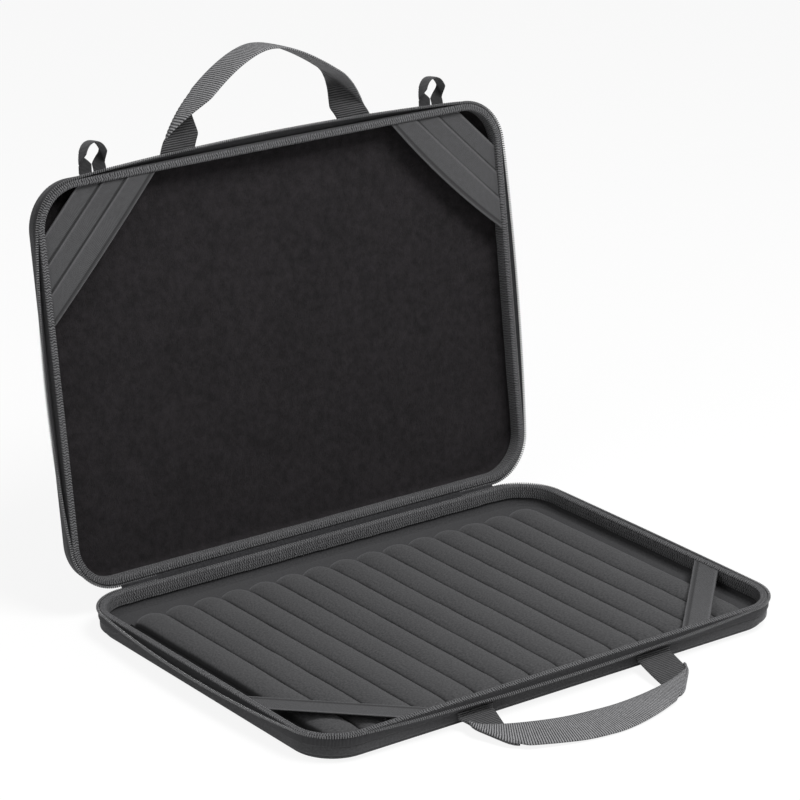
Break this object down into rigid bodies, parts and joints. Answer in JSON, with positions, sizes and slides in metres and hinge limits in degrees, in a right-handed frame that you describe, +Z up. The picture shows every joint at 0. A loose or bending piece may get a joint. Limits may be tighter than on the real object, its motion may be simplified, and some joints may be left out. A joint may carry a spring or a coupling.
{
  "type": "laptop hard case",
  "caption": "Moulded laptop case with a hinged lid, zip, ribbed foam pad, elastic corner bands, webbing handles and strap loops",
  "frame": {"origin": "middle of the tray's flat underside", "axes": "+X runs right along the spine, +Y points from the handle side to the spine, +Z is up; the lid is stored open"},
  "size_m": [0.4116, 0.424, 0.3754],
  "materials": {
    "shell_fabric": "woven fabric over moulded foam",
    "tray_lining_fabric": "smooth short-nap lining",
    "lid_lining_fabric": "dark mottled fleece",
    "pad_fabric": "brushed fabric over foam",
    "binding_tape": "cross-ribbed woven tape",
    "zip_tape": "woven tape",
    "zip_coil": "satin nylon coil",
    "elastic": "fine-ribbed elastic",
    "webbing": "cross-ribbed webbing",
    "loop_ribbon": "fine woven ribbon",
    "slider_metal": "satin enamel"
  },
  "bodies": {
    "tray": {"tray_shell": "shell_fabric", "tray_lining": "tray_lining_fabric", "tray_binding": "binding_tape", "tray_zip_tape": "zip_tape", "tray_zip_teeth": "zip_coil", "spine_tray_leaf": "shell_fabric", "zip_end_tab_left": "zip_tape", "zip_end_tab_right": "zip_tape", "pad_backing": "tray_lining_fabric", "rib_pad": "pad_fabric", "tray_band_left": "elastic", "tray_band_right": "elastic", "tray_handle_ends": "webbing"},
    "lid": {"lid_shell": "shell_fabric", "lid_lining": "lid_lining_fabric", "lid_binding": "binding_tape", "lid_zip_tape": "zip_tape", "lid_zip_teeth": "zip_coil", "spine_lid_leaf": "shell_fabric", "lid_band_left_1": "elastic", "lid_band_left_2": "elastic", "lid_band_left_3": "elastic", "lid_band_right_1": "elastic", "lid_band_right_2": "elastic", "lid_band_right_3": "elastic", "lid_handle_ends": "webbing"},
    "tray_handle": {"tray_handle": "webbing"},
    "lid_handle": {"lid_handle": "webbing"},
    "lid_loop_left": {"lid_loop_left": "loop_ribbon"},
    "lid_loop_right": {"lid_loop_right": "loop_ribbon"},
    "zip_slider_left": {"zip_slider_left": "slider_metal"},
    "zip_slider_right": {"zip_slider_right": "slider_metal"},
    "zip_pull_left": {"zip_pull_left": "slider_metal"},
    "zip_pull_right": {"zip_pull_right": "slider_metal"}
  },
  "joints": [
    {"name": "lid_close", "type": "hinge", "parent": "tray", "child": "lid", "pos_m": [0, 0.1457, 0.0202], "axis": [1, 0, 0], "range_deg": [0, 98]},
    {"name": "tray_handle_swing", "type": "hinge", "parent": "tray", "child": "tray_handle", "pos_m": [0, -0.146, 0.008], "axis": [1, 0, 0], "range_deg": [0, 50]},
    {"name": "lid_handle_swing", "type": "hinge", "parent": "lid", "child": "lid_handle", "pos_m": [0, 0.19838, 0.30736], "axis": [1, 0, 0], "range_deg": [-70, 0]},
    {"name": "lid_loop_left_swing", "type": "hinge", "parent": "lid", "child": "lid_loop_left", "pos_m": [-0.145, 0.19838, 0.30736], "axis": [1, 0, 0], "range_deg": [-70, 35]},
    {"name": "lid_loop_right_swing", "type": "hinge", "parent": "lid", "child": "lid_loop_right", "pos_m": [0.145, 0.19838, 0.30736], "axis": [1, 0, 0], "range_deg": [-70, 35]},
    {"name": "zip_slide_left", "type": "slide", "parent": "tray", "child": "zip_slider_left", "axis": [-1, 0, 0], "range_m": [0, 0.012]},
    {"name": "zip_slide_right", "type": "slide", "parent": "tray", "child": "zip_slider_right", "axis": [1, 0, 0], "range_m": [0, 0.012]},
    {"name": "zip_pull_left_swing", "type": "hinge", "parent": "zip_slider_left", "child": "zip_pull_left", "pos_m": [-0.152, 0.149, 0.01485], "axis": [0, 0, 1], "range_deg": [0, 160]},
    {"name": "zip_pull_right_swing", "type": "hinge", "parent": "zip_slider_right", "child": "zip_pull_right", "pos_m": [0.152, 0.149, 0.01485], "axis": [0, 0, -1], "range_deg": [0, 160]}
  ]
}
